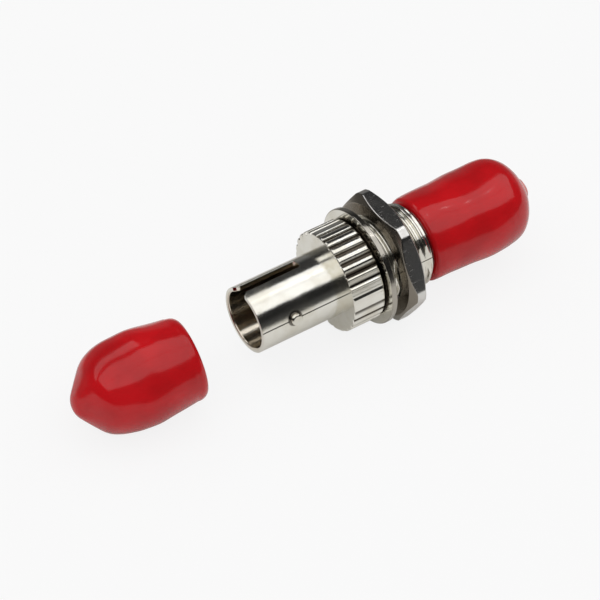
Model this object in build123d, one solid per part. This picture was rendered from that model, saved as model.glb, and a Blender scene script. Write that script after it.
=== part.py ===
from build123d import *
import math
import os

# ST to ST bulkhead adapter with a panel nut and two soft dust caps.
# Millimetres. The adapter's axis is X. The origin is on that axis, in the flange's back
# face, where the panel bears. +X runs through the panel to the capped end, and +Z is up.
# The adapter lies on one flat of its nut, and the cap that was taken off lies beside its mouth.

# Barrels: the two bayonet sockets are alike, one at each end
barrel_dia = 7.0
barrel_wall = 0.5
barrel_length = 9.5
rim_round = 0.12
rim_lead_in = 0.22
slot_width = 1.4
slot_length = 6.85
slot_corner = 0.3
slot_flare_width = 2.3
slot_flare_length = 0.45
slot_angle = 72.5
lug_dia = 1.2
lug_height = 0.5
lug_round = 0.12
lug_from_mouth = 3.8
lug_angle = slot_angle + 90

# Knurled collar behind the front barrel
collar_dia = 10.8
collar_length = 3.75
collar_front_chamfer = 0.15
collar_back_chamfer = 0.3
tooth_count = 32
groove_depth = 0.36
groove_top_width = 0.4
groove_root_width = 0.16
neck_length = 0.15

# Flange and threaded shank
flange_dia = 12.5
flange_thickness = 0.6
flange_chamfer = 0.12
thread_dia = 9.0
thread_flat_depth = 0.3
thread_length = 5.75
thread_end_chamfer = 0.35

# Pressed joint between the two castings
spigot_dia = 7.6
spigot_length = 2.2
spigot_end_gap = 0.1
spigot_chamfer = 0.15

# Split sleeve that lines up the two ferrules
sleeve_dia = 3.2
sleeve_bore_dia = 2.5
sleeve_length = 11.4
sleeve_slit = 0.35
sleeve_end_round = 0.08
sleeve_clearance = 0.05
sleeve_end_float = 0.1
lip_bore_dia = 2.7
lip_thickness = 1.3
lip_lead_in = 0.35

# Hex nut, turned from hexagon bar, so its corners are cut back to a round
nut_flange_overhang = 0.2
nut_corner_overhang = 1.36
nut_face_inset = 0.4
nut_thickness = 2.0
nut_chamfer_angle = 30
nut_panel_gap = 1.35
nut_bore_clearance = 0.05
nut_bore_chamfer = 0.3

# Dust caps of soft vinyl: the same moulding, stretched by the barrel on the fitted one
cap_wall = 1.0
cap_lip_round = 0.3
cap_tip_dia = 2.4
cap_tip_height = 0.22
cap_tip_round = 0.1
cap_bulge = 0.68
cap_mouth_slope = 0.06
fitted_cap_mouth_gap = 0.3
fitted_cap_end_length = 4.6
fitted_cap_shoulder_stretch = 0.6
fitted_cap_bulge_past_lug = 1.4
fitted_cap_clearance = 0.03
lug_channel_clearance = 0.06
loose_cap_length = 12.8
loose_cap_shrink = 0.6
loose_cap_bulge_growth = 0.56
loose_cap_collar_gap = 0.13
loose_cap_mouth_distance = 6.36
loose_cap_side_offset = -0.38
loose_cap_turn = 5.85
loose_cap_pitch = 4.5

# Shape of the closed end, from the tip: how far back each point lies, and its share of
# the shoulder's radius
cap_shoulder_back = 4.3
cap_crown_back = 2.05
cap_crown_share = 0.8
cap_cone_back = 0.75
cap_cone_share = 0.46

# Places along X that follow from the sizes above
flange_front = -flange_thickness
collar_back = flange_front - neck_length
collar_front = collar_back - collar_length
front_mouth = collar_front - barrel_length
rear_mouth = thread_length + barrel_length
middle = (front_mouth + rear_mouth) / 2
barrel_bore_dia = barrel_dia - 2 * barrel_wall
sleeve_front = middle - sleeve_length / 2
sleeve_back = middle + sleeve_length / 2
seat_front = sleeve_front - sleeve_end_float
seat_back = sleeve_back + sleeve_end_float
barrel_bore_depth = seat_front - lip_thickness - front_mouth
thread_across_flats = thread_dia - 2 * thread_flat_depth
nut_across_flats = flange_dia + nut_flange_overhang
nut_corner_dia = nut_across_flats + nut_corner_overhang
nut_face_dia = nut_across_flats - nut_face_inset
nut_front = nut_panel_gap
table_z = -nut_across_flats / 2
collar_root_dia = collar_dia - 2 * groove_depth
lug_from_shoulder = barrel_length - lug_from_mouth
fitted_cap_mouth = thread_length + fitted_cap_mouth_gap
fitted_cap_length = barrel_length - fitted_cap_mouth_gap + fitted_cap_end_length
fitted_cap_mouth_dia = barrel_dia + 2 * cap_wall
fitted_cap_bulge_dia = fitted_cap_mouth_dia + cap_bulge
fitted_cap_bulge_at = lug_from_shoulder - fitted_cap_mouth_gap + fitted_cap_bulge_past_lug
fitted_cap_shoulder_dia = fitted_cap_mouth_dia + fitted_cap_shoulder_stretch
loose_cap_mouth_dia = fitted_cap_mouth_dia - loose_cap_shrink
loose_cap_bulge_dia = loose_cap_mouth_dia + cap_bulge + loose_cap_bulge_growth
loose_cap_bulge_at = lug_from_shoulder - loose_cap_collar_gap
loose_cap_shoulder_dia = loose_cap_mouth_dia + loose_cap_shrink
OVERRUN = 1.0


def turned(points):
    # A solid of revolution about the X axis, from its outline as (x, radius) pairs
    outline = Polyline(*points, close=True)
    return revolve(make_face(outline), Axis.X, 360)


def rod(diameter, start, end):
    # A round bar along the X axis
    return extrude(Plane.YZ.offset(start) * Circle(diameter / 2), end - start)


def about_axis(shape, angle):
    # Turns a shape that was drawn pointing along +Z to its angle from +Y towards +Z
    return Rot(X=angle - 90) * shape


def barrel_outside():
    # The outside of one socket, with its mouth at X = 0 and running along +X
    outer = barrel_dia / 2
    solid = turned([(0, 0), (0, outer), (barrel_length, outer), (barrel_length, 0)])
    mouth_edge = solid.edges().filter_by(GeomType.CIRCLE).sort_by(Axis.X)[0]
    return fillet(mouth_edge, rim_round)


def barrel_lugs():
    # Two bayonet studs, opposite each other
    stud_foot = (barrel_bore_dia + barrel_dia) / 4
    stud_top = barrel_dia / 2 + lug_height
    stud = extrude(Plane.XY.offset(stud_foot) * Circle(lug_dia / 2), stud_top - stud_foot)
    top_edge = stud.edges().filter_by(GeomType.CIRCLE).sort_by(Axis.Z)[-1]
    stud = Pos(X=lug_from_mouth) * fillet(top_edge, lug_round)
    return about_axis(stud, lug_angle) + about_axis(stud, lug_angle + 180)


def barrel_hollow():
    # What is cut from a socket: its bore with a lead-in, and the key slot in one side
    bore = barrel_bore_dia / 2
    bore_space = turned([
        (-OVERRUN, 0),
        (-OVERRUN, bore + rim_lead_in),
        (0, bore + rim_lead_in),
        (rim_lead_in, bore),
        (barrel_bore_depth, bore),
        (barrel_bore_depth, 0),
    ])
    half_slot = slot_width / 2
    half_flare = slot_flare_width / 2
    slot_outline = Polyline(
        (-OVERRUN, -half_flare),
        (0, -half_flare),
        (slot_flare_length, -half_slot),
        (slot_length, -half_slot),
        (slot_length, half_slot),
        (slot_flare_length, half_slot),
        (0, half_flare),
        (-OVERRUN, half_flare),
        close=True,
    )
    slot = extrude(make_face(slot_outline), barrel_dia)
    inner_corners = slot.edges().filter_by(Axis.Z).group_by(Axis.X)[-1]
    slot = fillet(inner_corners, slot_corner)
    return bore_space + about_axis(slot, slot_angle)


def at_rear(shape):
    # The same socket form at the other end of the adapter, facing the other way
    return Pos(X=rear_mouth) * mirror(shape, Plane.YZ)


def sleeve_space():
    # The bored seat of the split sleeve and the lips that hold it in at both ends
    seat = sleeve_dia / 2 + sleeve_clearance
    lip = lip_bore_dia / 2
    web_front = front_mouth + barrel_bore_depth
    web_back = rear_mouth - barrel_bore_depth
    return turned([
        (web_front - OVERRUN, 0),
        (web_front - OVERRUN, lip + lip_lead_in),
        (web_front, lip + lip_lead_in),
        (web_front + lip_lead_in, lip),
        (seat_front, lip),
        (seat_front, seat),
        (seat_back, seat),
        (seat_back, lip),
        (web_back - lip_lead_in, lip),
        (web_back, lip + lip_lead_in),
        (web_back + OVERRUN, lip + lip_lead_in),
        (web_back + OVERRUN, 0),
    ])


def knurl_grooves():
    # Straight grooves between the flat-topped teeth, drawn on the collar's front face
    half_top = groove_top_width / 2
    half_root = groove_root_width / 2
    root = collar_dia / 2 - groove_depth
    top = collar_dia / 2
    spread = (half_top - half_root) / groove_depth
    outside = top + OVERRUN
    half_outside = half_top + spread * OVERRUN
    outline = Polyline(
        (-half_root, root),
        (half_root, root),
        (half_outside, outside),
        (-half_outside, outside),
        close=True,
    )
    start = Plane.YZ.offset(collar_front - OVERRUN)
    groove = extrude(start * make_face(outline), collar_length + neck_length + OVERRUN)
    step = 360 / tooth_count
    return [Rot(X=number * step) * groove for number in range(tooth_count)]


def front_housing():
    # One casting: the front socket and the knurled collar, bored for the rear casting's spigot
    top = collar_dia / 2
    root = collar_root_dia / 2
    collar = turned([
        (collar_front, 0),
        (collar_front, top - collar_front_chamfer),
        (collar_front + collar_front_chamfer, top),
        (collar_back - collar_back_chamfer, top),
        (collar_back, root),
        (flange_front, root),
        (flange_front, 0),
    ])
    collar -= knurl_grooves()
    body = collar + Pos(X=front_mouth) * (barrel_outside() + barrel_lugs())
    counterbore = rod(spigot_dia, flange_front - spigot_length - spigot_end_gap, flange_front)
    return body - Pos(X=front_mouth) * barrel_hollow() - sleeve_space() - counterbore


def rear_housing():
    # The other casting: spigot, flange, threaded shank with two flats, and the rear socket
    spigot = rod(spigot_dia, flange_front - spigot_length, flange_front)
    spigot = chamfer(spigot.edges().sort_by(Axis.X)[0], spigot_chamfer)
    flange = rod(flange_dia, flange_front, 0)
    flange = chamfer(flange.edges().filter_by(GeomType.CIRCLE), flange_chamfer)
    shank = rod(thread_dia, 0, thread_length)
    shank = chamfer(shank.edges().filter_by(GeomType.CIRCLE).sort_by(Axis.X)[-1], thread_end_chamfer)
    flats = Box(2 * thread_length, thread_dia + OVERRUN, thread_across_flats)
    shank &= about_axis(flats, lug_angle)
    body = spigot + flange + shank + at_rear(barrel_outside() + barrel_lugs())
    return body - at_rear(barrel_hollow()) - sleeve_space()


def alignment_sleeve():
    # A springy tube, slit along one side, that floats in its seat
    tube = rod(sleeve_dia, sleeve_front, sleeve_back)
    tube = fillet(tube.edges().filter_by(GeomType.CIRCLE), sleeve_end_round)
    tube -= rod(sleeve_bore_dia, sleeve_front - OVERRUN, sleeve_back + OVERRUN)
    slit = Pos(X=middle, Z=sleeve_dia / 2) * Box(sleeve_length + 2 * OVERRUN, sleeve_slit, sleeve_dia)
    return tube - about_axis(slit, slot_angle)


def hex_nut():
    # Hexagon with both faces chamfered to a round, lying on one flat
    nut_back = nut_front + nut_thickness
    hexagon = Plane.YZ.offset(nut_front) * RegularPolygon(
        nut_across_flats / 2, 6, major_radius=False
    )
    corner = nut_corner_dia / 2
    face = nut_face_dia / 2
    drop = (corner - face) * math.tan(math.radians(nut_chamfer_angle))
    blank = turned([
        (nut_front, 0),
        (nut_front, face),
        (nut_front + drop, corner),
        (nut_back - drop, corner),
        (nut_back, face),
        (nut_back, 0),
    ])
    bore = thread_dia / 2 + nut_bore_clearance
    hole = turned([
        (nut_front - OVERRUN, 0),
        (nut_front - OVERRUN, bore + nut_bore_chamfer),
        (nut_front, bore + nut_bore_chamfer),
        (nut_front + nut_bore_chamfer, bore),
        (nut_back - nut_bore_chamfer, bore),
        (nut_back, bore + nut_bore_chamfer),
        (nut_back + OVERRUN, bore + nut_bore_chamfer),
        (nut_back + OVERRUN, 0),
    ])
    return extrude(hexagon, nut_thickness) & blank - hole


def cap_outside(length, mouth_dia, bulge_dia, bulge_at, shoulder_dia):
    # The outside of a cap, mouth at X = 0 and tip at X = length: a bulge where the lugs
    # stretch it, a round shoulder and a blunt cone with a small flat nub
    shoulder = shoulder_dia / 2
    body_end = length - cap_tip_height
    side = Spline(
        (0, mouth_dia / 2),
        (bulge_at, bulge_dia / 2),
        (body_end - cap_shoulder_back, shoulder),
        (body_end - cap_crown_back, cap_crown_share * shoulder),
        (body_end - cap_cone_back, cap_cone_share * shoulder),
        (body_end, 0),
        tangents=[(1, cap_mouth_slope), (0, -1)],
    )
    face = make_face(side + Polyline((body_end, 0), (0, 0), (0, mouth_dia / 2)))
    body = revolve(face, Axis.X, 360)
    lip = body.edges().filter_by(GeomType.CIRCLE).sort_by(Axis.X)[0]
    body = fillet(lip, cap_lip_round)
    nub = rod(cap_tip_dia, body_end - cap_wall / 2, length)
    return body + fillet(nub.edges().sort_by(Axis.X)[-1], cap_tip_round)


def fitted_dust_cap():
    # Drawn over the rear socket: the bore is the barrel's, with two channels that the lugs
    # press into the soft wall, open to the mouth
    outside = cap_outside(
        fitted_cap_length,
        fitted_cap_mouth_dia,
        fitted_cap_bulge_dia,
        fitted_cap_bulge_at,
        fitted_cap_shoulder_dia,
    )
    bore = barrel_dia / 2 + fitted_cap_clearance
    barrel_end = rear_mouth - fitted_cap_mouth + cap_lip_round
    inner_end = fitted_cap_length - cap_tip_height - cap_wall
    dome = Spline((barrel_end, bore), (inner_end, 0), tangents=[(1, 0), (0, -1)])
    rest = Polyline((inner_end, 0), (-OVERRUN, 0), (-OVERRUN, bore), (barrel_end, bore))
    inside = revolve(make_face(dome + rest), Axis.X, 360)
    channel_top = barrel_dia / 2 + lug_height + lug_channel_clearance
    channel_width = lug_dia + 2 * lug_channel_clearance
    channel_end = lug_from_shoulder - fitted_cap_mouth_gap + channel_width / 2
    channel = extrude(
        Pos(X=(channel_end - OVERRUN) / 2) * Rectangle(channel_end + OVERRUN, channel_width), channel_top
    )
    channels = about_axis(channel, lug_angle) + about_axis(channel, lug_angle + 180)
    return Pos(X=fitted_cap_mouth) * (outside - inside - channels)


def loose_dust_cap():
    # Taken off the front socket and laid on the table, its mouth towards the barrel. It rests
    # on the cone behind its bulge, so its mouth is raised a little
    outside = cap_outside(
        loose_cap_length,
        loose_cap_mouth_dia,
        loose_cap_bulge_dia,
        loose_cap_bulge_at,
        loose_cap_shoulder_dia,
    )
    shoulder = loose_cap_shoulder_dia / 2 - cap_wall
    body_end = loose_cap_length - cap_tip_height
    side = Spline(
        (0, loose_cap_mouth_dia / 2 - cap_wall),
        (loose_cap_bulge_at, loose_cap_bulge_dia / 2 - cap_wall),
        (body_end - cap_shoulder_back, shoulder),
        (body_end - cap_crown_back - cap_wall / 2, cap_crown_share * shoulder),
        (body_end - cap_wall, 0),
        tangents=[(1, cap_mouth_slope), (0, -1)],
    )
    mouth = loose_cap_mouth_dia / 2 - cap_wall
    rest = Polyline((body_end - cap_wall, 0), (-OVERRUN, 0), (-OVERRUN, mouth), (0, mouth))
    inside = revolve(make_face(side + rest), Axis.X, 360)
    cap = mirror(outside - inside, Plane.YZ)
    cap = Rot(Z=-loose_cap_turn) * Rot(Y=-loose_cap_pitch) * cap
    height = table_z - cap.bounding_box().min.Z
    return Pos(front_mouth - loose_cap_mouth_distance, loose_cap_side_offset, height) * cap


os.makedirs("parts", exist_ok=True)
pieces = {
    "front_housing": front_housing(),
    "rear_housing": rear_housing(),
    "alignment_sleeve": alignment_sleeve(),
    "hex_nut": hex_nut(),
    "fitted_dust_cap": fitted_dust_cap(),
    "loose_dust_cap": loose_dust_cap(),
}
for name, shape in pieces.items():
    export_step(shape, f"parts/{name}.step")
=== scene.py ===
import math

import bmesh
import bpy
from mathutils import Matrix, Vector


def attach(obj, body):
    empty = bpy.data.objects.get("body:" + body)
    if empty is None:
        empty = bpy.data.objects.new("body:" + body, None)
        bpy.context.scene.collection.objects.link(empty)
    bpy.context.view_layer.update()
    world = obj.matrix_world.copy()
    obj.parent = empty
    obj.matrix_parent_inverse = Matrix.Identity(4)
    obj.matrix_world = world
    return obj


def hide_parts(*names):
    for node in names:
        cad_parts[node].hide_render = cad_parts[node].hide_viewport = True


# Dressed model of the ST adapter: two nickel-plated castings, a hex nut, a split sleeve
# and two vinyl dust caps. Sizes below are in millimetres; meshes are made in metres.

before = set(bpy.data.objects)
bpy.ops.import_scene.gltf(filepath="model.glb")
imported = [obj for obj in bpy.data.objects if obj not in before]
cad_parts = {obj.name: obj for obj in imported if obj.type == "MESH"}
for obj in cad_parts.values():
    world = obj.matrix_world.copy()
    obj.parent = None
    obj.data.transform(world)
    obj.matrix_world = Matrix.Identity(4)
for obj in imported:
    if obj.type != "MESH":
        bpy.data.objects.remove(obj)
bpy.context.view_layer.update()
mm = 0.001


# Node helpers
class Term:
    # A socket in an expression; its operators add Math nodes to the same tree
    def __init__(self, graph, socket):
        self.graph = graph
        self.socket = socket

    def __add__(self, other):
        return self.graph.math("ADD", self, other)

    def __radd__(self, other):
        return self.graph.math("ADD", other, self)

    def __sub__(self, other):
        return self.graph.math("SUBTRACT", self, other)

    def __rsub__(self, other):
        return self.graph.math("SUBTRACT", other, self)

    def __mul__(self, other):
        return self.graph.math("MULTIPLY", self, other)

    def __rmul__(self, other):
        return self.graph.math("MULTIPLY", other, self)

    def __truediv__(self, other):
        return self.graph.math("DIVIDE", self, other)

    def __rtruediv__(self, other):
        return self.graph.math("DIVIDE", other, self)

    def __abs__(self):
        return self.graph.math("ABSOLUTE", self)

    def output(self, name):
        return Term(self.graph, self.socket.node.outputs[name])


class Graph:
    def __init__(self, tree):
        self.tree = tree

    def node(self, kind, settings=None, sockets=None, output=0):
        made = self.tree.nodes.new(kind)
        for name, value in (settings or {}).items():
            setattr(made, name, value)
        for name, value in (sockets or {}).items():
            if isinstance(value, Term):
                self.tree.links.new(value.socket, made.inputs[name])
            else:
                made.inputs[name].default_value = value
        return Term(self, made.outputs[output]) if len(made.outputs) else made

    def math(self, operation, *values):
        return self.node("ShaderNodeMath", {"operation": operation}, dict(enumerate(values)))

    def least(self, a, b):
        return self.math("MINIMUM", a, b)

    def most(self, a, b):
        return self.math("MAXIMUM", a, b)

    def ramp(self, value, low, high, curve="SMOOTHSTEP"):
        # 0 below low, 1 above high
        sockets = {"Value": value, "From Min": low, "From Max": high}
        return self.node("ShaderNodeMapRange", {"interpolation_type": curve, "clamp": True}, sockets)

    def wrap(self, angle, half):
        return self.math("WRAP", angle, half, -half)

    def split(self, vector):
        made = self.node("ShaderNodeSeparateXYZ", None, {0: vector})
        return made, made.output("Y"), made.output("Z")

    def join(self, x, y, z):
        return self.node("ShaderNodeCombineXYZ", None, {0: x, 1: y, 2: z})

    def length(self, a, b):
        return self.math("SQRT", a * a + b * b)

    def noise(self, where, scale, detail=2.0):
        sockets = {"Vector": where, "Scale": scale, "Detail": detail}
        return self.node("ShaderNodeTexNoise", {"noise_dimensions": "3D"}, sockets)

    def blend(self, factor, a, b):
        return self.node("ShaderNodeMix", {"data_type": "RGBA"}, {0: factor, 6: a, 7: b}, 2)

    def bump(self, strength, distance, height, **more):
        sockets = {"Strength": strength, "Distance": distance * mm, "Height": height}
        return self.node("ShaderNodeBump", None, dict(sockets, **more))


# Mesh helpers
def added(name, data):
    made = bpy.data.objects.new(name, data)
    bpy.context.scene.collection.objects.link(made)
    return made


def meshFrom(name, points, faces):
    mesh = bpy.data.meshes.new(name)
    mesh.from_pydata([[c * mm for c in point] for point in points], [], faces)
    return mesh


def outwards(mesh):
    # Turns the faces of a closed mesh so that they point out of its volume
    shape = bmesh.new()
    shape.from_mesh(mesh)
    bmesh.ops.remove_doubles(shape, verts=shape.verts, dist=0.0005 * mm)
    bmesh.ops.recalc_face_normals(shape, faces=shape.faces)
    if shape.calc_volume(signed=True) < 0:
        bmesh.ops.reverse_faces(shape, faces=shape.faces)
    for face in shape.faces:
        face.smooth = True
    shape.to_mesh(mesh)
    shape.free()
    return mesh


def joined(name, meshes, material):
    shape = bmesh.new()
    for mesh in meshes:
        shape.from_mesh(mesh)
    whole = bpy.data.meshes.new(name)
    shape.to_mesh(whole)
    shape.free()
    whole.materials.append(material)
    for polygon in whole.polygons:
        polygon.material_index = 0
    return whole


def place(name, mesh, body, node):
    piece = added(name, mesh)
    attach(piece, body)
    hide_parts(node)
    print("made", name, len(mesh.polygons), "faces")


def bend(start, middle, end, t):
    return start * (1 - t) ** 2 + middle * (2 * t * (1 - t)) + end * t ** 2


def rounded(corners, steps=4, support=0.03):
    # Outline points (x, radius) from corners (x, radius, rounding, flag); each rounded corner
    # becomes a small arc with a holding point on both sides
    points = []
    count = len(corners)
    for index, (x, r, rounding, flag) in enumerate(corners):
        here = Vector((x, r))
        back = Vector(corners[index - 1][:2]) - here
        ahead = Vector(corners[(index + 1) % count][:2]) - here
        if rounding <= 0 or index in (0, count - 1):
            points.append((x, r, flag))
            continue
        reach = min(rounding, 0.45 * back.length, 0.45 * ahead.length)
        start = here + back.normalized() * reach
        end = here + ahead.normalized() * reach
        hold = min(support, 0.4 * (back.length - reach), 0.4 * (ahead.length - reach))
        first = start + back.normalized() * hold
        last = end + ahead.normalized() * hold
        points.append((first.x, first.y, flag))
        for step in range(steps + 1):
            p = bend(start, here, end, step / steps)
            points.append((p.x, p.y, flag))
        points.append((last.x, last.y, flag))
    return points


def between(start, end, count):
    # Evenly spaced values from start to end, both included
    return [start + (end - start) * step / (count - 1) for step in range(count)]


def lengths(values, labels):
    # Lengths under the tree's labels: Late Depth is lateDepth in the values
    def key(label):
        return label[0].lower() + label[1:].replace(" ", "")

    return {label: values[key(label)] * mm for label in labels}


# Turned forms
def turnedTree(name, inputs, rule, spread=None):
    # A Geometry Nodes tree that turns an outline about the X axis. The outline comes in as
    # loose points (x, flag, radius); rule changes x and radius at each angle
    tree = bpy.data.node_groups.new(name, "GeometryNodeTree")
    face = tree.interface
    kinds = [("Geometry", "Geometry"), ("Segments", "Int"), ("Material", "Material")]
    for label, kind in kinds + [(label, "Float") for label in inputs]:
        face.new_socket(label, in_out="INPUT", socket_type="NodeSocket" + kind)
    face.new_socket("Geometry", in_out="OUTPUT", socket_type="NodeSocketGeometry")
    g = Graph(tree)
    given = g.node("NodeGroupInput")
    value = given.output
    rows = g.node("GeometryNodeAttributeDomainSize", {"component": "MESH"}, {0: given})
    columns = value("Segments") + 1
    sides = {"Size X": 1.0, "Size Y": 1.0, "Vertices X": rows, "Vertices Y": columns}
    grid = g.node("GeometryNodeMeshGrid", None, sides)
    across, around = g.split(g.node("GeometryNodeInputPosition"))[:2]
    row = g.math("ROUND", (across + 0.5) * (rows - 1))
    share = around + 0.5
    angle = spread(g, share, value) if spread else share * (2 * math.pi)
    outline = g.node(
        "GeometryNodeSampleIndex",
        {"data_type": "FLOAT_VECTOR", "domain": "POINT", "clamp": True},
        {"Geometry": given, "Value": g.node("GeometryNodeInputPosition"), "Index": row},
    )
    x, flag, radius = g.split(outline)
    x, radius = rule(g, x, radius, angle, flag, value)
    spot = g.join(x, radius * g.math("COSINE", angle), radius * g.math("SINE", angle))
    shape = g.node("GeometryNodeSetPosition", None, {"Geometry": grid, "Position": spot})
    shape = g.node("GeometryNodeMergeByDistance", None, {"Geometry": shape, "Distance": 0.0006 * mm})
    shape = g.node("GeometryNodeRealizeInstances", None, {"Geometry": shape})
    shape = g.node("GeometryNodeSetMaterial", None, {"Geometry": shape, "Material": value("Material")})
    g.node("NodeGroupOutput", None, {0: shape})
    return tree


def turned(name, tree, outline, material, segments, values):
    # Runs a turned tree on an outline and gives back the plain mesh
    points = [(x, flag * 1000, r) for x, r, flag in outline]
    holder = added(name + "Outline", meshFrom(name + "Outline", points, []))
    modifier = holder.modifiers.new("turned", "NODES")
    modifier.node_group = tree
    wanted = dict(values, Segments=segments, Material=material)
    for item in tree.interface.items_tree:
        if item.item_type == "SOCKET" and item.in_out == "INPUT" and item.name in wanted:
            modifier[item.identifier] = wanted[item.name]
    bpy.context.view_layer.update()
    graph = bpy.context.evaluated_depsgraph_get()
    mesh = bpy.data.meshes.new_from_object(holder.evaluated_get(graph), depsgraph=graph)
    holder.modifiers.remove(modifier)
    bpy.data.objects.remove(holder)
    mesh.name = name
    return outwards(mesh)


def toothRule(g, x, radius, angle, flag, value):
    # Straight grooves as a two-part mould can make them: the wall that the mould slides along
    # leans with the draw. Each tooth's top is crowned, and tilts towards the parting line
    pitch = 2 * math.pi / value("Teeth")
    tip = value("Tip Radius")
    steepest = math.radians(87)
    lateSpan = math.radians(25), math.radians(78)
    fadeSpan = math.radians(80), math.radians(88)

    def groove(number):
        centre = number * pitch + value("First Groove")
        turn = g.wrap(centre - value("Draw Angle"), math.pi)
        lean = math.pi / 2 - abs(abs(turn) - math.pi / 2)
        way = g.math("SIGN", turn) * g.math("SIGN", math.pi / 2 - abs(turn))
        slope = g.math("TANGENT", g.least(lean, steepest))
        late = g.ramp(lean, *lateSpan, "LINEAR")
        fade = 1 - g.ramp(lean, *fadeSpan, "LINEAR")
        wanted = value("Depth") + (value("Late Depth") - value("Depth")) * late
        depth = g.least(wanted, value("Widest Wall") / g.most(slope, 0.001)) * fade
        crown = value("Crown") * fade
        run = g.most(depth * slope, value("Wall Run"))
        side = (angle - centre) * tip * way + value("Lead")
        falling = crown + (depth - crown) * g.ramp(side, 0.0, run, "LINEAR")
        foot = run + value("Root Width")
        start = foot + value("Wall Run")
        share = g.ramp(side, start, pitch * tip, "LINEAR")
        land = value("Late Tilt") * late * fade * (1 - share) + crown * (share * 2 - 1) * (share * 2 - 1)
        rising = land + (depth - land) * (1 - g.ramp(side, foot, start))
        within = g.math("GREATER_THAN", side, 0.0) * g.math("LESS_THAN", side, pitch * tip)
        return g.math("SMOOTH_MIN", falling, rising, value("Soften")) * within

    number = g.math("FLOOR", (angle - value("First Groove")) / pitch)
    cut = g.most(groove(number), groove(number + 1))
    fromSeam = abs(g.wrap(angle - value("Seam Angle"), math.pi / 2))
    seam = value("Seam Depth") * (1 - g.ramp(fromSeam * tip, 0.0, value("Seam Width"), "LINEAR"))
    toothed = g.least(radius, tip - cut) - seam
    return x, radius + (toothed - radius) * flag


def shankRule(g, x, radius, angle, flag, value):
    # A thread whose rows follow the helix, cut back by the two flats and the end chamfer
    crestHalf, rootHalf = 0.08, 0.40
    turns = angle / (2 * math.pi)
    pitch = value("Pitch")
    shifted = x + pitch * (turns - 0.5) * flag
    along = g.least(g.most(shifted, value("Start")), value("End"))
    phase = g.math("FRACT", along / pitch - turns + 8)
    fromCrest = abs(phase - 0.5)
    thread = value("Root Radius") + value("Depth") * (1 - g.ramp(fromCrest, crestHalf, rootHalf))
    cone = value("End Radius") + value("End") - along
    fromFlat = g.wrap(angle - value("Flat Angle"), math.pi / 2)
    flat = value("Flat Height") / g.most(g.math("COSINE", fromFlat), 0.05)
    seam = value("Seam Depth") * (1 - g.ramp(abs(fromFlat) * flat, 0.0, value("Seam Width"), "LINEAR"))
    made = g.math("SMOOTH_MIN", g.least(thread, cone), flat, 0.02 * mm) - seam
    return x + (along - x) * flag, radius + (made - radius) * flag


def shankSpread(g, share, value):
    # Columns gather at the parting lines on the flats
    gathering = 0.42
    even = share * (2 * math.pi)
    return even - gathering * g.math("SINE", (even - value("Flat Angle")) * 2)


def nutRule(g, x, radius, angle, flag, value):
    fromFace = g.wrap(angle - math.pi / 2, math.pi / 6)
    face = value("Half Flats") / g.math("COSINE", fromFace)
    made = g.math("SMOOTH_MIN", radius, face, value("Edge Round"))
    return x, radius + (made - radius) * flag


def capRule(g, x, radius, angle, flag, value):
    # Dipped vinyl: a slow waviness outside, and a swelling where a stud lifts the wall
    girth, waveScale, swellingReach = 4 * mm, 170.0, 2.6 * mm
    reach = g.join(x, g.math("COSINE", angle) * girth, g.math("SINE", angle) * girth)
    waves = g.noise(reach, waveScale, 1.0)
    fromStud = g.wrap(angle - value("Stud Angle"), math.pi / 2) * radius
    studPlace = value("Stud Place")
    away = g.length(fromStud, x - studPlace)
    swelling = value("Swelling") * (1 - g.ramp(away, 0.0, swellingReach))
    alongCap = g.ramp(x, 0.0, studPlace) * (1 - g.ramp(x, studPlace * 1.3, studPlace * 2.4))
    oval = value("Oval") * g.math("COSINE", 2 * (angle - value("Stud Angle"))) * alongCap
    change = (waves - 0.5) * value("Waviness") + swelling + oval
    outside = radius + change * g.ramp(radius, 0.2 * mm, 2 * mm)
    inChannel = g.ramp(abs(fromStud), value("Channel Half") + 0.08 * mm, value("Channel Half"), "LINEAR")
    beforeStud = g.ramp(x, value("Channel End") + 0.1 * mm, value("Channel End"), "LINEAR")
    channel = radius + g.most(value("Channel Radius") - radius, 0.0) * inChannel * beforeStud
    inner = g.ramp(flag, 0.25, 0.2, "LINEAR")
    return x, radius + (outside - radius) * g.ramp(flag, 0.4, 0.9, "LINEAR") + (channel - radius) * inner


# Materials
def newMaterial(name):
    made = bpy.data.materials.new(name)
    made.use_nodes = True
    made.node_tree.nodes.clear()
    g = Graph(made.node_tree)
    return made, g, g.node("ShaderNodeTexCoord").output("Object")


def worn(values, amount):
    return values["roughness"] + values["roughnessChange"] * amount


def surfaced(made, g, color, roughness, bump, more):
    sockets = {"Base Color": color, "Roughness": roughness, "Normal": bump, **more}
    shader = g.node("ShaderNodeBsdfPrincipled", None, sockets)
    g.node("ShaderNodeOutputMaterial", None, {"Surface": shader})
    return made


nickel = {
    "bright": (0.80, 0.785, 0.73, 1),
    "warm": (0.72, 0.69, 0.61, 1),
    # Painted shade: near-black put in the collar's grooves and round the front studs' feet
    "recess": (0.07, 0.058, 0.045, 1),
    "recessFrom": -4.42,
    "recessTo": -0.6,
    "recessFloor": 4.7,
    "recessRadius": 5.29,
    "recessFade": 0.12,
    # Painted reflection: a darker tint on the flange's rim for the dark room it mirrors
    "rim": (0.42, 0.395, 0.35, 1),
    "rimRadius": 6.12,
    # Painted shade: a darker, warmer tint inside the bore
    "inside": (0.68, 0.62, 0.53, 1),
    "insideRadius": 3.3,
    "insideFade": 0.2,
    "studPlace": -10.2,
    "studAngle": 162.5,
    "studTop": 3.75,
    "studReach": (0.74, 0.92),
    # How strongly the painted shade darkens the front studs' feet
    "studTint": 0.85,
    "roughness": 0.12,
    "roughnessChange": 0.08,
    "patchScale": 450.0,
    "waviness": 0.16,
    "waveScales": (1100.0, 3200.0),
    "grain": 0.3,
    "grainScale": 9000.0,
}


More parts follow.
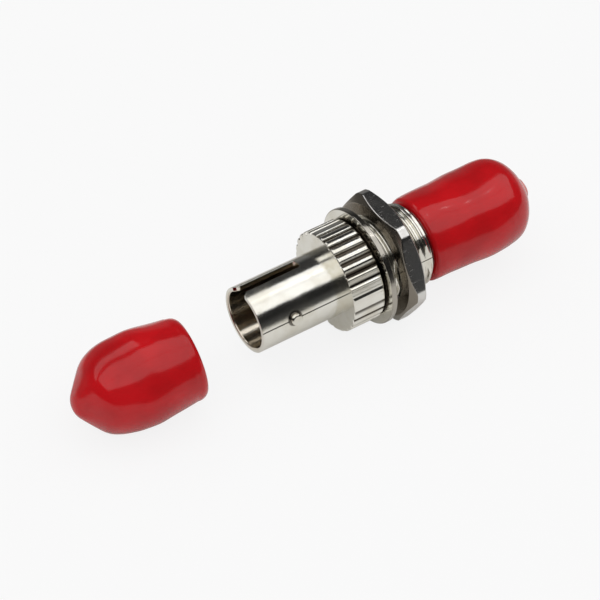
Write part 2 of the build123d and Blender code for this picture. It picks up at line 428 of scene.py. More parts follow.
def nickelMaterial(name, values):
    # Plating over a casting: reflections waver and dull in patches. Painted shade darkens the
    # collar's grooves and the front studs' feet, a painted reflection of the dark room darkens the
    # flange's rim, and painted shade tints the inside of the bore
    made, g, where = newMaterial(name)
    patches = g.noise(where, values["patchScale"], 3.0)
    grain = g.noise(where, values["grainScale"])
    slow, quick = values["waveScales"]
    waves = g.noise(where, slow, 1.0) + 0.35 * g.noise(where, quick, 1.0)
    x, y, z = g.split(where)
    distance = g.length(y, z)

    def beyond(spot, limit, fade):
        return g.ramp(spot, limit * mm, (limit + fade) * mm)

    color = g.blend(g.ramp(patches, 0.35, 0.7), values["bright"], values["warm"])
    # Painted shade in the collar's grooves
    deep = beyond(distance, values["recessRadius"], -values["recessFade"])
    deep = deep * beyond(distance, values["recessFloor"], 0.1)
    along = beyond(x, values["recessFrom"], 0.06) * (1 - beyond(x, values["recessTo"], 0.05))
    color = g.blend(deep * along, color, values["recess"])
    # Painted shade round the front studs' feet
    lean = math.radians(values["studAngle"])
    across = z * math.cos(lean) - y * math.sin(lean)
    away = g.length(x - values["studPlace"] * mm, across)
    near, far = values["studReach"]
    foot = beyond(away, far, near - far) * beyond(distance, values["studTop"], -0.2)
    foot = foot * beyond(distance, values["insideRadius"], 0.1)
    color = g.blend(foot * values["studTint"], color, values["recess"])
    # Painted reflection darkening the flange's rim
    color = g.blend(beyond(distance, values["rimRadius"], 0.06), color, values["rim"])
    # Painted shade tinting the inside of the bore
    color = g.blend(beyond(distance, values["insideRadius"], -values["insideFade"]), color, values["inside"])
    roughness = worn(values, g.ramp(patches, 0.3, 0.75))
    bump = g.bump(values["waviness"], 0.05, waves)
    bump = g.bump(values["grain"], 0.02, grain, Normal=bump)
    return surfaced(made, g, color, roughness, bump, {"Metallic": 1.0})


nutPlate = {
    "bright": (0.70, 0.695, 0.68, 1),
    "warm": (0.56, 0.545, 0.52, 1),
    # Painted reflection: dark tints on the end faces and chamfers for the dark room they mirror
    "faces": (0.17, 0.145, 0.115, 1),
    "chamfer": (0.25, 0.225, 0.19, 1),
    "roughness": 0.13,
    "roughnessChange": 0.08,
    "patchScale": 500.0,
    "ringScale": 6000.0,
    "scratches": 0.45,
    "scratchScale": (900.0, 6000.0, 6000.0),
}


def nutMaterial(name, values, shape):
    # Turned and plated: rings from the lathe and fine scratches from handling. The darker end faces
    # and chamfers are painted reflection of the dark room
    made, g, where = newMaterial(name)
    x, y, z = g.split(where)
    patches = g.noise(where, values["patchScale"], 3.0)
    distance = g.length(y, z)
    rings = g.noise(g.join(x * 60, distance, 0.0), values["ringScale"], 1.0)
    stretched = g.node("ShaderNodeMapping", None, {"Vector": where, "Scale": values["scratchScale"]})
    scratched = g.ramp(g.noise(stretched, 1.0), 0.62, 0.7)
    color = g.blend(g.ramp(patches, 0.35, 0.7), values["bright"], values["warm"])
    half = shape["thickness"] / 2
    slope = math.tan(math.radians(shape["chamferAngle"]))
    fromMiddle = abs(x - (shape["front"] + half) * mm)
    # Painted reflection darkening the nut's end faces
    color = g.blend(g.ramp(fromMiddle, (half - 0.03) * mm, (half - 0.01) * mm), color, values["faces"])
    # Painted reflection darkening the chamfers
    offCone = abs((distance - shape["faceRadius"] * mm) * slope - half * mm + fromMiddle)
    color = g.blend(g.ramp(offCone, 0.04 * mm, 0.02 * mm), color, values["chamfer"])
    roughness = worn(values, g.ramp(patches, 0.3, 0.75))
    roughness = roughness + 0.12 * scratched
    bump = g.bump(values["scratches"], 0.004, rings + scratched * 0.5)
    return surfaced(made, g, color, roughness, bump, {"Metallic": 1.0})


bronze = {
    "bright": (0.78, 0.55, 0.33, 1),
    "dull": (0.58, 0.38, 0.22, 1),
    "roughness": 0.24,
    "roughnessChange": 0.15,
    "grain": 0.2,
}


def bronzeMaterial(name, values):
    made, g, where = newMaterial(name)
    x, y, z = g.split(where)
    drawn = g.noise(g.join(x * 200, y * 4000, z * 4000), 1.0)
    color = g.blend(drawn, values["dull"], values["bright"])
    roughness = worn(values, drawn)
    bump = g.bump(values["grain"], 0.004, drawn)
    return surfaced(made, g, color, roughness, bump, {"Metallic": 1.0})


vinyl = {
    "red": (0.43, 0.006, 0.009, 1),
    "deep": (0.33, 0.004, 0.006, 1),
    # Painted highlight: a pale colour on the drip at the fitted cap's tip
    "tip": (0.72, 0.45, 0.42, 1),
    "roughness": 0.12,
    "roughnessChange": 0.08,
    "gloss": 0.36,
    "cloudScale": 260.0,
    "ripple": 0.5,
    "rippleScale": 420.0,
    "speckScale": 5200.0,
}


def vinylMaterial(name, values, tipAt=None, highlightReach=None):
    # Glossy dipped vinyl with slow ripples; the drip at the tip, if there is one, gets a pale painted
    # highlight
    made, g, where = newMaterial(name)
    cloudy = g.noise(where, values["cloudScale"], 3.0)
    ripple = g.noise(where, values["rippleScale"], 1.0)
    specks = g.noise(where, values["speckScale"], 1.0)
    color = g.blend(g.ramp(cloudy, 0.3, 0.7), values["red"], values["deep"])
    # Painted highlight on the drip at the tip
    if tipAt:
        ends = {0: where, 1: [c * mm for c in tipAt]}
        offset = g.node("ShaderNodeVectorMath", {"operation": "DISTANCE"}, ends, "Value")
        color = g.blend(g.ramp(offset, highlightReach[1] * mm, highlightReach[0] * mm), color, values["tip"])
    roughness = worn(values, g.ramp(cloudy, 0.35, 0.8))
    bump = g.bump(values["ripple"], 0.12, ripple + specks * 0.015)
    gloss = {"IOR": 1.5, "Specular IOR Level": values["gloss"]}
    return surfaced(made, g, color, roughness, bump, gloss)


castNickel = nickelMaterial("castNickel", nickel)
springBronze = bronzeMaterial("springBronze", bronze)
print("materials made")


# Bayonet sockets
socket = {
    "radius": 3.5,
    "boreRadius": 3.0,
    "length": 9.5,
    "boreDepth": 7.525,
    "lipDepth": 8.825,
    "lipRadius": 1.35,
    "lipLeadIn": 0.35,
    "seatRadius": 1.65,
    "rootDepth": 9.85,
    "slotHalf": 0.7,
    "slotLength": 6.85,
    "slotCorner": 0.3,
    "flareHalf": 1.15,
    "flareLength": 0.45,
    "slotAngle": 72.5,
    "edgeRound": 0.07,
    "mouthRoundInside": 0.2,
    "seamDepth": 0.035,
    "studPlace": 3.8,
    "studRadius": 0.6,
    "studHeight": 0.5,
    "studRound": 0.3,
    "studFoot": 0.1,
}


def socketWall(values):
    # The barrel as one closed shell: outer and inner walls on matching rows and columns, with
    # the slot left open and its edge rounded all the way round the mouth
    radius = values["radius"]
    bore = values["boreRadius"]
    edgeRound = values["edgeRound"]
    half = values["slotHalf"]
    corner = values["slotCorner"]
    straight = values["slotLength"] - corner
    edgeAngle = math.degrees(math.asin(half / radius))
    settleAt = values["slotLength"] + 0.45
    fade = 62.0
    sideRows = [0.75, 1.2, 2.0, 2.9, 3.8, 4.7, 5.5, 6.1, 6.35, straight]
    lastSide = 2 + len(sideRows)
    settling = [0.0, 0.12, 0.3, 0.55, 0.8, 1.0]
    seam = [89.2, 90.0, 90.8]
    quarter = [edgeAngle, edgeAngle + 0.7, edgeAngle + 1.6] + between(edgeAngle + 3, seam[0], 30) + seam[1:]
    quarter += between(seam[2], 180.0, 34)[1:]
    outside = quarter + [360 - angle for angle in reversed(quarter[:-1])]
    last = len(outside) - 1
    turns = [67.5, 45.0, 22.5, 0.0]
    endPlaces = [(-1, turn) for turn in turns] + [(0, -0.2), (0, 0.0), (0, 0.2)]
    endPlaces += [(1, turn) for turn in reversed(turns)]
    total = len(outside) + len(endPlaces)

    def sideRow(row, offset):
        if row == 0:
            return offset, values["flareHalf"] + 0.414 * offset
        if row == 1:
            middle = (values["flareHalf"] + half) / 2
            return values["flareLength"] / 2 + 0.707 * offset, middle + 0.707 * offset
        if row == 2:
            return values["flareLength"] + 0.414 * offset, half + offset
        return sideRows[row - 3], half + offset

    def spot(wall, offset, row, column):
        # Place along the axis and angle from the slot's middle
        extra = max(0, row - lastSide)
        if column <= last:
            x, gap = sideRow(min(row, lastSide), offset)
            edge = math.degrees(math.asin(gap / wall))
            angle = outside[column]
            side = angle if angle <= 180 else 360 - angle
            if side < fade:
                side = edge + (side - edgeAngle) * (fade - edge) / (fade - edgeAngle)
            angle = side if angle <= 180 else 360 - side
        else:
            way, turn = endPlaces[column - last - 1]
            if way == 0:
                x, across = straight + corner + offset, turn
            else:
                lean = math.radians(turn)
                across = way * (half - corner + (corner + offset) * math.sin(lean))
                x = straight + (corner + offset) * math.cos(lean)
            angle = math.degrees(math.asin(across / wall))
        return x + (settleAt - x) * settling[extra], angle

    points = []

    def point(wall, x, angle, groove=True):
        isSeam = groove and wall == radius and min(abs(angle - 90), abs(angle - 270)) < 0.01
        wall = wall - values["seamDepth"] if isSeam else wall
        turn = math.radians(angle + values["slotAngle"])
        points.append((x, wall * math.cos(turn), wall * math.sin(turn)))
        return len(points) - 1

    def insideRound(row):
        return [values["mouthRoundInside"], 0.13, edgeRound][min(row, 2)]

    rowsNeeded = lastSide + len(settling)
    webOutline = rounded([
        (settleAt, bore, 0, 0),
        (values["boreDepth"], bore, 0.12, 0),
        (values["boreDepth"], values["lipRadius"] + values["lipLeadIn"], 0.05, 0),
        (values["boreDepth"] + values["lipLeadIn"], values["lipRadius"], 0.08, 0),
        (values["lipDepth"], values["lipRadius"], 0.03, 0),
        (values["lipDepth"], values["seatRadius"], 0.03, 0),
        (values["rootDepth"], values["seatRadius"], 0, 0),
    ])[1:]
    rootRows = between(settleAt, values["rootDepth"], 8)[1:]
    outer, inner = {}, {}
    for row in range(rowsNeeded):
        for column in range(total):
            if row < lastSide and column > last:
                continue
            outer[row, column] = point(radius, *spot(radius, edgeRound, row, column))
            inner[row, column] = point(bore, *spot(bore, insideRound(row), row, column))
    for column in range(total):
        angle = spot(radius, edgeRound, rowsNeeded - 1, column)[1]
        for step, x in enumerate(rootRows):
            outer[rowsNeeded + step, column] = point(radius, x, angle)
        angle = spot(bore, edgeRound, rowsNeeded - 1, column)[1]
        for step, (x, r, flag) in enumerate(webOutline):
            inner[rowsNeeded + step, column] = point(r, x, angle, False)

    faces = []
    for wall, count in ((outer, len(rootRows)), (inner, len(webOutline))):
        for row in range(rowsNeeded + count - 1):
            for column in range(total):
                following = (column + 1) % total
                corners = [(row, column), (row, following), (row + 1, following), (row + 1, column)]
                if all(key in wall for key in corners) and not (row < lastSide and column >= last):
                    faces.append([wall[key] for key in corners])
    farOuter = rowsNeeded + len(rootRows) - 1
    farInner = rowsNeeded + len(webOutline) - 1
    for column in range(total):
        following = (column + 1) % total
        faces.append([outer[farOuter, column], outer[farOuter, following],
                      inner[farInner, following], inner[farInner, column]])

    edgeLoop = [(0, column) for column in range(last + 1)]
    edgeLoop += [(row, last) for row in range(1, lastSide + 1)]
    edgeLoop += [(lastSide, column) for column in range(last + 1, total)]
    edgeLoop += [(row, 0) for row in range(lastSide, 0, -1)]
    strips = []
    for row, column in edgeLoop:
        ends = []
        for wall, offset, boundary in ((radius, edgeRound, outer), (bore, insideRound(row), inner)):
            x, angle = spot(wall, 0.0, row, column)
            turn = math.radians(angle + values["slotAngle"])
            sharp = Vector((x, wall * math.cos(turn), wall * math.sin(turn)))
            ends.append((Vector(points[boundary[row, column]]), sharp, offset))
        (outerEnd, outerSharp, outerOffset), (innerEnd, innerSharp, innerOffset) = ends
        down = (innerSharp - outerSharp).normalized()
        outerWall = outerSharp + down * outerOffset
        innerWall = innerSharp - down * innerOffset
        strip = [outer[row, column]]
        arc = [bend(outerEnd, outerSharp, outerWall, t) for t in (0.25, 0.5, 0.75, 1.0)]
        arc += [bend(innerWall, innerSharp, innerEnd, t) for t in (0.0, 0.25, 0.5, 0.75)]
        for p in arc:
            points.append(tuple(p))
            strip.append(len(points) - 1)
        strip.append(inner[row, column])
        strips.append(strip)
    for index, strip in enumerate(strips):
        following = strips[(index + 1) % len(strips)]
        for step in range(len(strip) - 1):
            faces.append([strip[step], strip[step + 1], following[step + 1], following[step]])
    return outwards(meshFrom("socketWall", points, faces))


def stud(values, angle):
    # One bayonet stud with a cast fillet at its foot, sunk a little into the barrel
    foot = values["studRadius"] + values["studFoot"]
    top = values["studHeight"]
    outline = rounded([
        (0.0, top, 0, 0),
        (values["studRadius"], top, values["studRound"], 0),
        (values["studRadius"], 0.02, 0.16, 0),
        (foot, -0.01, 0, 0),
        (foot + 0.02, -0.15, 0, 0),
        (0.0, -0.15, 0, 0),
    ])
    segments = 40
    points, faces = [], []
    for out, height, flag in outline:
        for step in range(segments):
            turn = 2 * math.pi * step / segments
            along, across = out * math.cos(turn), out * math.sin(turn)
            lift = min(max(height / top, 0.0), 1.0)
            surface = math.sqrt(values["radius"] ** 2 - across ** 2)
            reach = surface * (1 - lift) + values["radius"] * lift + height
            lean = math.radians(angle)
            y = reach * math.cos(lean) - across * math.sin(lean)
            z = reach * math.sin(lean) + across * math.cos(lean)
            points.append((values["studPlace"] + along, y, z))
    for row in range(len(outline) - 1):
        for step in range(segments):
            following = (step + 1) % segments
            faces.append([row * segments + step, row * segments + following,
                          (row + 1) * segments + following, (row + 1) * segments + step])
    return outwards(meshFrom("stud", points, faces))


def socketMeshes(values):
    angle = values["slotAngle"] + 90
    return [socketWall(values), stud(values, angle), stud(values, angle + 180)]


def moved(meshes, matrix):
    copies = []
    for mesh in meshes:
        copy = mesh.copy()
        copy.transform(matrix)
        if matrix.determinant() < 0:
            copy.flip_normals()
        copies.append(copy)
    return copies


socketParts = socketMeshes(socket)
print("sockets made")


# Front casting
collar = {
    "mouth": -14.0,
    "front": -4.5,
    "back": -0.75,
    "joint": -0.6,
    "radius": 5.4,
    "frontBevel": [(0.03, 0.075), (0.08, 0.035), (0.16, 0.008)],
    "backTaper": 0.34,
    "counterbore": 3.8,
    "counterboreDepth": 2.3,
    "teeth": 32,
    "firstGroove": 95.2,
    "lead": 0.1,
    "depth": 0.34,
    "lateDepth": 0.3,
    "lateTilt": 0.12,
    "crown": 0.055,
    "rootWidth": 0.2,
    "wallRun": 0.1,
    "widestWall": 0.5,
    "soften": 0.03,
    "seamAngle": 163.125,
    "seamDepth": 0.03,
    "seamWidth": 0.07,
}


def frontCasting(values, material):
    barrel = socket["radius"]
    tip = values["radius"]
    root = tip - values["depth"]
    front, back, joint = values["front"], values["back"], values["joint"]
    deep = joint - values["counterboreDepth"]
    outline = rounded([
        (front, socket["seatRadius"], 0, 0),
        (front, barrel - 0.1, 0, 0),
        (front, root - 0.5, 0, 1),
        (front, root - 0.06, 0, 1),
    ])
    outline += [(front, radius, 1) for radius in between(root, tip - 0.14, 7)]
    outline += [(front + along, tip - drop, 1) for along, drop in values["frontBevel"]]
    outline += [(x, tip, 1) for x in between(front + 0.26, back - values["backTaper"] - 0.06, 9)]
    taper = between(0.0, 1.0, 8)
    fall = values["depth"] + 0.02
    outline += [(back - values["backTaper"] * (1 - t), tip - fall * t ** 1.5, 1) for t in taper]
    outline += rounded([
        (back, root - 0.02, 0, 1),
        (back + 0.06, root - 0.04, 0, 0),
        (joint, root - 0.04, 0.04, 0),
        (joint, values["counterbore"], 0.05, 0),
        (deep, values["counterbore"], 0.05, 0),
        (deep, socket["seatRadius"], 0, 0),
        (front, socket["seatRadius"], 0, 0),
    ])[1:]
    sizes = lengths(values, [
        "Lead", "Depth", "Late Depth", "Late Tilt", "Crown", "Root Width", "Wall Run", "Widest Wall",
        "Soften", "Seam Depth", "Seam Width",
    ])
    sizes.update({
        "Teeth": float(values["teeth"]),
        "First Groove": math.radians(values["firstGroove"]),
        "Tip Radius": tip * mm,
        "Draw Angle": math.radians(socket["slotAngle"]),
        "Seam Angle": math.radians(values["seamAngle"]),
    })
    tree = turnedTree("toothedCollar", list(sizes), toothRule)
    body = turned("collar", tree, outline, material, values["teeth"] * 24, sizes)
    shift = Matrix.Translation((values["mouth"] * mm, 0, 0))
    return joined("frontCasting", [body] + moved(socketParts, shift), material)


place("frontCasting", frontCasting(collar, castNickel), "adapter", "front_housing")


# Rear casting
shank = {
    "mouth": 15.25,
    "spigotRadius": 3.79,
    "spigotEnd": -2.8,
    "flangeFront": -0.6,
    "flangeRadius": 6.25,
    "flangeRound": 0.12,
    "threadRadius": 4.5,
    "threadDepth": 0.31,
    "pitch": 0.75,
    "threadEnd": 5.75,
    "coreEnd": 4.9,
    "endChamfer": 0.35,
    "flatHeight": 4.2,
    "flatAngle": 162.5,
    "fillet": 0.1,
    "seamDepth": 0.035,
    "seamWidth": 0.06,
}


def rearCasting(values, material):
    crest = values["threadRadius"]
    start, end = 0.02, values["threadEnd"] - 0.01
    rows = 12
    step = values["pitch"] / rows
    count = int((end - start + values["pitch"]) / step) + 2
    outline = rounded([
        (values["coreEnd"], socket["seatRadius"], 0, 0),
        (values["spigotEnd"], socket["seatRadius"], 0.03, 0),
        (values["spigotEnd"], values["spigotRadius"], 0.12, 0),
        (values["flangeFront"], values["spigotRadius"], 0.03, 0),
        (values["flangeFront"], values["flangeRadius"], values["flangeRound"], 0),
        (0.0, values["flangeRadius"], values["flangeRound"], 0),
        (0.0, crest + 0.1, 0, 0),
    ], 5)
    outline += [(start - values["pitch"] / 2 + index * step, crest, 1) for index in range(count)]
    outline += rounded([
        (values["threadEnd"], crest - values["endChamfer"] - 0.02, 0, 0),
        (values["threadEnd"], socket["radius"] + values["fillet"], 0.1, 0),
        (values["threadEnd"] + 0.2, socket["radius"] - 0.14, 0, 0),
        (values["threadEnd"] + 0.1, socket["radius"] - 0.3, 0, 0),
        (values["coreEnd"], socket["radius"] - 0.3, 0, 0),
        (values["coreEnd"], socket["seatRadius"], 0, 0),
    ])
    sizes = lengths(values, ["Pitch", "Flat Height", "Seam Depth", "Seam Width"])
    sizes.update({
        "Start": start * mm,
        "End": end * mm,
        "Root Radius": (crest - values["threadDepth"]) * mm,
        "Depth": values["threadDepth"] * mm,
        "End Radius": (crest - values["endChamfer"]) * mm,
        "Flat Angle": math.radians(values["flatAngle"]),
    })
    tree = turnedTree("threadedShank", list(sizes), shankRule, shankSpread)
    body = turned("shank", tree, outline, material, 320, sizes)
    flip = Matrix.Translation((values["mouth"] * mm, 0, 0)) @ Matrix.Diagonal((-1, 1, 1, 1))
    return joined("rearCasting", [body] + moved(socketParts, flip), material)


place("rearCasting", rearCasting(shank, castNickel), "adapter", "rear_housing")


# Panel nut
nut = {
    "front": 1.35,
    "thickness": 2.0,
    "halfFlats": 6.3499,
    "cornerRadius": 7.02,
    "faceRadius": 6.15,
    "chamferAngle": 30.0,
    "boreRadius": 4.55,
    "boreChamfer": 0.3,
    "edgeRound": 0.2,
}


def panelNut(values, material):
    front = values["front"]
    middle = front + values["thickness"] / 2
    back = front + values["thickness"]
    face, corner = values["faceRadius"], values["cornerRadius"]
    slope = math.tan(math.radians(values["chamferAngle"]))
    bore = values["boreRadius"]
    lead = values["boreChamfer"]
    cone = between(face + 0.04, corner - 0.04, 26)
    drop = (corner - face) * slope
    outline = rounded([
        (middle, bore, 0, 0),
        (front + lead, bore, 0.06, 0),
        (front, bore + lead, 0.05, 0),
        (front, face - 0.1, 0, 0),
    ])
    outline += [(front, face - 0.03, 1), (front + 0.005, face + 0.01, 1)]
    outline += [(front + (radius - face) * slope, radius, 1) for radius in cone]
    outline += [(x, corner, 1) for x in between(front + drop, back - drop, 12)]
    outline += [(back - (radius - face) * slope, radius, 1) for radius in reversed(cone)]
    outline += [(back - 0.005, face + 0.01, 1), (back, face - 0.03, 1)]
    outline += rounded([
        (back, face - 0.1, 0, 0),
        (back, bore + lead, 0.05, 0),
        (back - lead, bore, 0.06, 0),
        (middle, bore, 0, 0),
    ])
    sizes = lengths(values, ["Half Flats", "Edge Round"])
    return turned("panelNut", turnedTree("hexNut", list(sizes), nutRule), outline, material, 288, sizes)


turnedNickel = nutMaterial("turnedNickel", nutPlate, nut)
place("panelNut", panelNut(nut, turnedNickel), "nut", "hex_nut")


# Split sleeve
sleeve = {
    "start": -5.075,
    "end": 6.325,
    "radius": 1.6,
    "boreRadius": 1.25,
    "round": 0.08,
    "slit": 0.35,
    "slitAngle": 72.5,
}


def splitSleeve(values, material):
    outline = rounded([
        (values["start"], values["boreRadius"], 0, 0),
        (values["start"], values["radius"], values["round"], 0),
        (values["end"], values["radius"], values["round"], 0),
        (values["end"], values["boreRadius"], 0.04, 0),
        (values["start"], values["boreRadius"], 0.04, 0),
    ])[:-1]
    segments = 72
    points, faces = [], []
    for x, r, flag in outline:
        gap = math.asin(values["slit"] / 2 / r)
        for step in range(segments + 1):
            turn = math.radians(values["slitAngle"]) + gap + (2 * math.pi - 2 * gap) * step / segments
            points.append((x, r * math.cos(turn), r * math.sin(turn)))
    count = len(outline)
    width = segments + 1
    for row in range(count):
        following = (row + 1) % count
        for step in range(segments):
            faces.append([row * width + step, row * width + step + 1,
                          following * width + step + 1, following * width + step])
    faces.append([row * width for row in range(count)])
    faces.append([row * width + segments for row in range(count)])
    mesh = outwards(meshFrom("sleeve", points, faces))
    for polygon in mesh.polygons:
        polygon.use_smooth = len(polygon.vertices) == 4
    mesh.materials.append(material)
    return mesh


place("sleeve", splitSleeve(sleeve, springBronze), "adapter", "alignment_sleeve")


# Dust caps
fittedCap = {
    "mouthAt": 6.05,
    "length": 13.8,
    "outline": [(0, 4.5), (2.0, 4.6), (4.4, 4.74), (6.8, 4.84), (9.05, 4.83), (9.7, 4.77), (10.46, 4.62),
                (11.2, 4.31), (11.9, 3.77), (12.5, 3.02), (13.0, 2.12), (13.35, 1.25), (13.52, 0.0)],
    "boreRadius": 3.53,
    "barrelEnd": 9.5,
    "boreEnd": 12.5,
    "lip": 0.3,
    "rolled": 0.45,
    "nubRadius": 1.2,
    "nubRound": 0.14,
    "studPlace": 5.4,
    "channelHalf": 0.66,
    "channelRadius": 4.06,
    "oval": 0.2,
    "swelling": 0.02,
    "waviness": 0.6,
    "paleTip": (0.9, 1.7),
}
looseCap = {
    "mouthAt": -20.36,
    "sideways": -0.38,
    "turn": 5.85,
    "pitch": 4.5,
    "floor": -6.349,
    "length": 12.8,
    "outline": [(0, 4.2), (1.8, 4.38), (3.0, 4.55), (4.2, 4.72), (5.57, 4.82), (7.2, 4.70), (8.3, 4.5),
                (9.2, 4.27), (10.0, 3.9), (10.6, 3.42), (11.2, 2.72), (11.8, 1.98), (12.25, 1.42),
                (12.55, 1.0), (12.73, 0.55), (12.8, 0.0)],
    "boreOutline": [(0, 3.2), (5.57, 3.82), (8.3, 3.5), (10.1, 2.9), (11.0, 2.0), (11.5, 0.9), (11.6, 0.0)],
    "lip": 0.3,
    "rolled": 0.95,
    "nubRadius": 0.0,
    "studPlace": 0.0,
    "channelHalf": 0.0,
    "channelRadius": 0.0,
    "oval": 0.0,
    "swelling": 0.0,
    "waviness": 0.75,
}


def curveThrough(points, perSpan):
    # A smooth curve through the points, by Catmull-Rom with chord-length spacing
    marks = [Vector(p) for p in points]
    marks = [marks[0] * 2 - marks[1]] + marks + [marks[-1] + Vector((0.02, -0.6))]
    smooth = []
    for index in range(1, len(marks) - 2):
        a, b, c, d = marks[index - 1:index + 3]
        tb = (b - a).length ** 0.5
        tc = tb + (c - b).length ** 0.5
        td = tc + (d - c).length ** 0.5
        for step in range(perSpan):
            t = tb + (tc - tb) * step / perSpan
            ab = a * ((tb - t) / tb) + b * (t / tb)
            bc = b * ((tc - t) / (tc - tb)) + c * ((t - tb) / (tc - tb))
            cd = c * ((td - t) / (td - tc)) + d * ((t - tc) / (td - tc))
            abc = ab * ((tc - t) / tc) + bc * (t / tc)
            bcd = bc * ((td - t) / (td - tb)) + cd * ((t - tb) / (td - tb))
            p = abc * ((tc - t) / (tc - tb)) + bcd * ((t - tb) / (tc - tb))
            smooth.append((p.x, max(p.y, 0.0)))
    smooth.append(tuple(points[-1]))
    return smooth


def capMesh(name, values, inner, material):
    # Outline from the inside of the mouth, round the lip, along the outside to the tip, and
    # back down the inside; flag 1 is outside, 0 inside and 0.3 the lip between them
    outer = curveThrough(values["outline"], 8)
    lip = values["lip"]
    nub = values["nubRadius"]
    tip = values["length"]
    outline = [(x, r, 0) for x, r in reversed(inner) if x > lip + 0.05]
    mouth = values["outline"][0][1]
    bore = inner[0][1]
    middle = bore + 0.35 * (mouth - bore)
    for step in range(1, 9):
        lean = math.pi / 2 * step / 8
        outline.append((lip * (1 - math.sin(lean)), middle - (middle - bore) * math.cos(lean), 0.3))
    rolled = values["rolled"]
    edge = next(r for x, r in outer if x >= rolled)
    for step in range(1, 13):
        lean = math.pi / 2 * step / 12
        outline.append((rolled * (1 - math.cos(lean)), middle + (edge - middle) * math.sin(lean), 0.3))
    body = [(x, r) for x, r in outer if x > rolled + 0.05 and (nub == 0 or r > nub + 0.12)]
    outline += [(x, r, min(1.0, 0.4 + x)) for x, r in body]
    if nub:
        outline += rounded([
            (body[-1][0] + 0.001, nub + 0.1, 0, 1),
            (tip - 0.24, nub + 0.02, 0.08, 1),
            (tip - 0.02, nub - 0.06, values["nubRound"], 1),
            (tip - 0.01, nub * 0.5, 0, 1),
            (tip, 0.0, 0, 1),
        ], 6)[1:]
    sizes = lengths(values, ["Stud Place", "Oval", "Swelling", "Waviness", "Channel Half", "Channel Radius"])
    sizes["Channel End"] = sizes["Stud Place"] + sizes["Channel Half"]
    sizes["Stud Angle"] = math.radians(socket["slotAngle"] + 90)
    tree = bpy.data.node_groups.get("dippedCap") or turnedTree("dippedCap", list(sizes), capRule)
    return turned(name, tree, outline, material, 160, sizes)


def fittedCapMesh(values, material):
    bore = values["boreRadius"]
    end = values["barrelEnd"]
    inner = [(x, bore) for x in between(0.0, end, 30)]
    for step in range(1, 17):
        lean = math.pi / 2 * step / 16
        inner.append((end + (values["boreEnd"] - end) * math.sin(lean), bore * math.cos(lean)))
    mesh = capMesh("fittedCap", values, inner, material)
    mesh.transform(Matrix.Translation((values["mouthAt"] * mm, 0, 0)))
    return mesh


def looseCapMesh(values, material):
    inner = curveThrough(values["boreOutline"], 6)
    mesh = capMesh("looseCap", values, inner, material)
    mesh.transform(Matrix.Rotation(math.pi, 4, "Z"))
    mesh.transform(Matrix.Rotation(-math.radians(values["pitch"]), 4, "Y"))
    mesh.transform(Matrix.Rotation(-math.radians(values["turn"]), 4, "Z"))
    lowest = min(vertex.co.z for vertex in mesh.vertices)
    height = values["floor"] * mm - lowest
    mesh.transform(Matrix.Translation((values["mouthAt"] * mm, values["sideways"] * mm, height)))
    return mesh


fittedTip = (fittedCap["mouthAt"] + fittedCap["length"], 0.0, 0.0)
fittedVinyl = vinylMaterial("redVinylFitted", vinyl, fittedTip, fittedCap["paleTip"])
place("fittedCap", fittedCapMesh(fittedCap, fittedVinyl), "fitted_cap", "fitted_dust_cap")
looseVinyl = vinylMaterial("redVinylLoose", vinyl)
place("looseCap", looseCapMesh(looseCap, looseVinyl), "adapter", "loose_dust_cap")


# Floor, light and camera
studio = {
    "floorHeight": -6.35,
    "floorSize": 3000.0,
    "floorColor": (0.80, 0.80, 0.80, 1),
    "floorPatches": (0.83, 0.83, 0.83, 1),
    "seenShare": 0.9,
    "seenGlow": (0.945, 0.945, 0.945, 1),
    # Painted light: the floor glows for mirrored rays, brighter near the adapter and dimmer far off
    "nearShare": 0.35,
    "nearGlow": (0.47, 0.455, 0.405, 1),
    "farShare": 0.95,
    "farGlow": (0.14, 0.137, 0.13, 1),
    "dimBehind": (8, 40),
    "dimInFront": (12, 150),
    "roomDark": 0.012,
    "roomLow": 0.055,
    "wallBehind": 0.02,
    "wallLow": 0.1,
    "wallSpan": (-0.2, 0.3),
    "lowSpan": (0.0, 0.45),
    "sideShare": 0.25,
    "sideSpan": (-0.95, -0.3),
    "roomFill": 0.5,
    "roomSeen": 0.95,
    # Lamps that face straight down: centre, size, radiance
    "panels": {
        "softBox": ((160.0, -203.0, 400.0), (1150.0, 276.0), 1.25),
        "secondBox": ((160.0, 60.0, 400.0), (1150.0, 242.0), 1.25),
        "strip": ((-270.0, 380.0, 400.0), (780.0, 240.0), 1.25),
        "smallLamp": ((178.0, 25.0, 398.0), (16.0, 16.0), 12.0),
    },
    "fillCentre": (-150, -350, 350),
    "fillSize": (400, 400),
    "fillRadiance": 0.55,
}


def floorMaterial(values):
    # Pale paper. What the metal mirrors of it is a painted glow: painted light near the adapter
    # and painted dimness farther off
    made, g, where = newMaterial("paleFloor")
    color = g.blend(g.noise(where, 12.0), values["floorColor"], values["floorPatches"])
    y = g.split(where)[1]
    behind, inFront = [[c * mm for c in values[key]] for key in ("dimBehind", "dimInFront")]
    far = g.most(g.ramp(y, *behind), g.ramp(0 - y, *inFront))
    path = g.node("ShaderNodeLightPath")
    glossy = path.output("Is Glossy Ray")
    mirrored = g.blend(far, values["nearGlow"], values["farGlow"])
    matte = g.node("ShaderNodeBsdfDiffuse", None, {"Color": color})
    glow = g.node("ShaderNodeEmission", None, {"Color": g.blend(glossy, values["seenGlow"], mirrored)})
    mirrorShare = values["nearShare"] + (values["farShare"] - values["nearShare"]) * far
    share = values["seenShare"] * path.output("Is Camera Ray") + glossy * mirrorShare
    shader = g.node("ShaderNodeMixShader", None, {0: share, 1: matte, 2: glow})
    g.node("ShaderNodeOutputMaterial", None, {"Surface": shader})
    return made


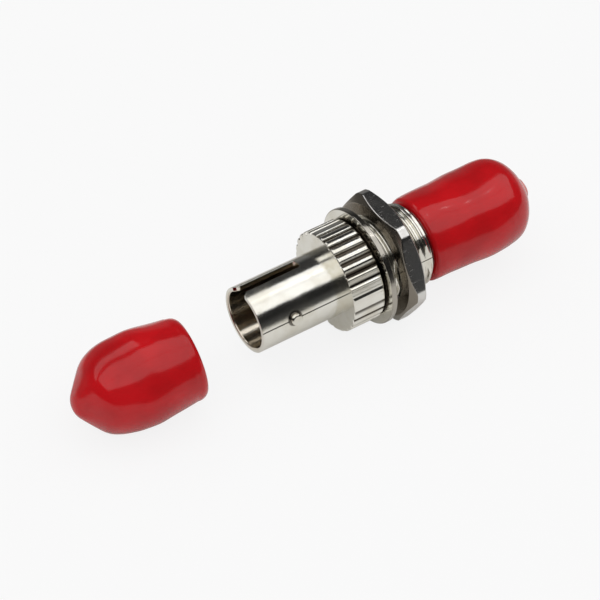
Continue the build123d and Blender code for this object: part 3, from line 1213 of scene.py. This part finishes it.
def buildFloor(values):
    half = values["floorSize"] / 2
    z = values["floorHeight"]
    corners = [(-half, -half, z), (half, -half, z), (half, half, z), (-half, half, z)]
    mesh = meshFrom("floor", corners, [[0, 1, 2, 3]])
    mesh.materials.append(floorMaterial(values))
    floor = added("floor", mesh)


def panelLight(name, centre, target, size, radiance, seenInGloss=True):
    data = bpy.data.lights.new(name, "AREA")
    data.shape = "RECTANGLE"
    data.size = size[0] * mm
    data.size_y = size[1] * mm
    data.energy = math.pi * radiance * size[0] * size[1] * mm * mm
    lamp = added(name, data)
    lamp.location = [c * mm for c in centre]
    lamp.rotation_euler = (Vector(centre) - Vector(target)).to_track_quat("Z", "Y").to_euler()
    lamp.visible_glossy = seenInGloss


def buildWorld(values):
    # The metal mirrors a dark room, a little lighter low down and behind; the view is pale
    world = bpy.data.worlds.new("studio")
    bpy.context.scene.world = world
    world.use_nodes = True
    world.node_tree.nodes.clear()
    g = Graph(world.node_tree)
    x, y, z = g.split(g.node("ShaderNodeTexCoord").output("Generated"))
    behind = g.ramp(y, *values["wallSpan"])
    low = 1 - g.ramp(z, *values["lowSpan"])
    mirrored = values["roomDark"] + values["roomLow"] * low
    mirrored = mirrored + behind * (values["wallBehind"] + values["wallLow"] * low)
    side = values["sideShare"]
    mirrored = mirrored * (side + (1 - side) * g.ramp(x, *values["sideSpan"]))
    path = g.node("ShaderNodeLightPath")
    glossy = path.output("Is Glossy Ray")
    strength = glossy * mirrored + (1 - glossy) * values["roomFill"]
    camera = path.output("Is Camera Ray")
    strength = camera * values["roomSeen"] + (1 - camera) * strength
    shader = g.node("ShaderNodeBackground", None, {"Color": (1, 1, 1, 1), "Strength": strength})
    g.node("ShaderNodeOutputWorld", None, {"Surface": shader})


def buildLights(values):
    for name, (centre, size, radiance) in values["panels"].items():
        panelLight(name, centre, (*centre[:2], 0), size, radiance)
    panelLight("fill", values["fillCentre"], (0, 0, 0), values["fillSize"], values["fillRadiance"], False)


view = {
    "elevation": 46.5,
    "turn": 33.2,
    "distance": 250.0,
    "target": (-8.636, -1.765, 1.370),
    "lens": 152.9,
    "sensor": 36.0,
}


def buildCamera(values):
    up = math.radians(values["elevation"])
    turn = math.radians(values["turn"])
    ahead = Vector((math.sin(turn) * math.cos(up), math.cos(turn) * math.cos(up), -math.sin(up)))
    data = bpy.data.cameras.new("view")
    data.lens = values["lens"]
    data.sensor_width = values["sensor"]
    data.clip_start = 0.01
    data.clip_end = 20.0
    camera = added("view", data)
    camera.location = (Vector(values["target"]) - ahead * values["distance"]) * mm
    camera.rotation_euler = ahead.to_track_quat("-Z", "Y").to_euler()
    bpy.context.scene.camera = camera


buildFloor(studio)
buildWorld(studio)
buildLights(studio)
buildCamera(view)
bpy.context.scene.view_settings.view_transform = "Standard"
print("studio made")
